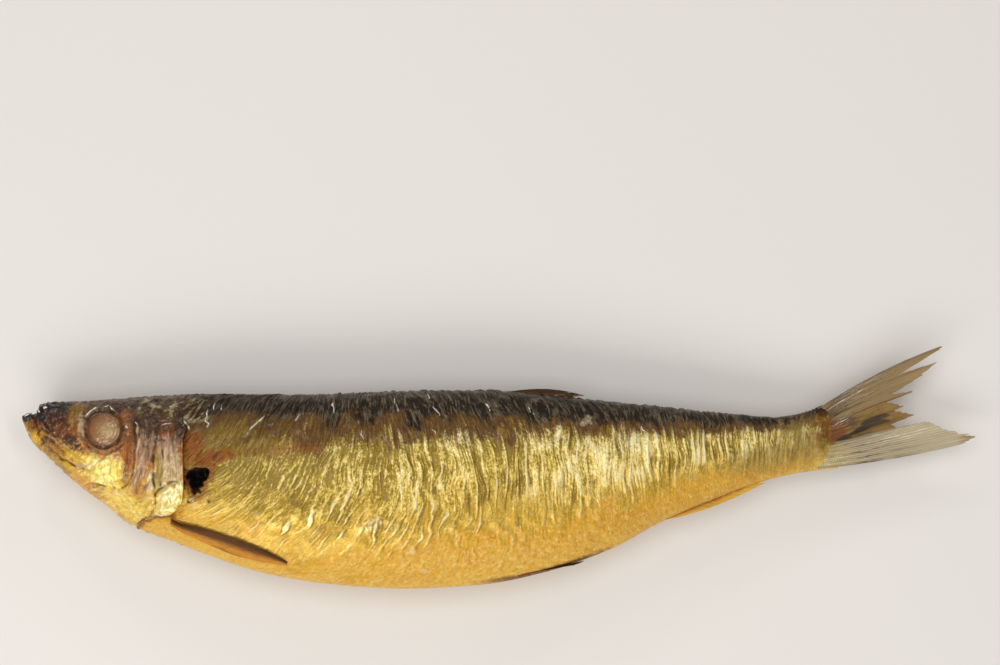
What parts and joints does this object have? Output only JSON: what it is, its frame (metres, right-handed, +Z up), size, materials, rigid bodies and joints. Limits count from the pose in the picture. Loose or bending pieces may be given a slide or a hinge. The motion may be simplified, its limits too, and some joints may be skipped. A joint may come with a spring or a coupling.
{
  "type": "smoked whole herring",
  "caption": "Whole smoked herring with golden wrinkled skin, dark back, torn forked tail and a rod hole behind the gill cover, lying on its side.",
  "frame": {"origin": "centre of the bounding box's bottom, on the table that the fish lies on", "axes": "+X from the head to the tail, +Y from the belly to the back, +Z up out of the left flank"},
  "size_m": [0.25, 0.0638, 0.0236],
  "materials": {
    "smoked_skin": "oily, wrinkled, metallic gold flank with a black-brown back and an orange belly"
  },
  "bodies": {
    "root": {"herring": "smoked_skin"}
  },
  "joints": []
}
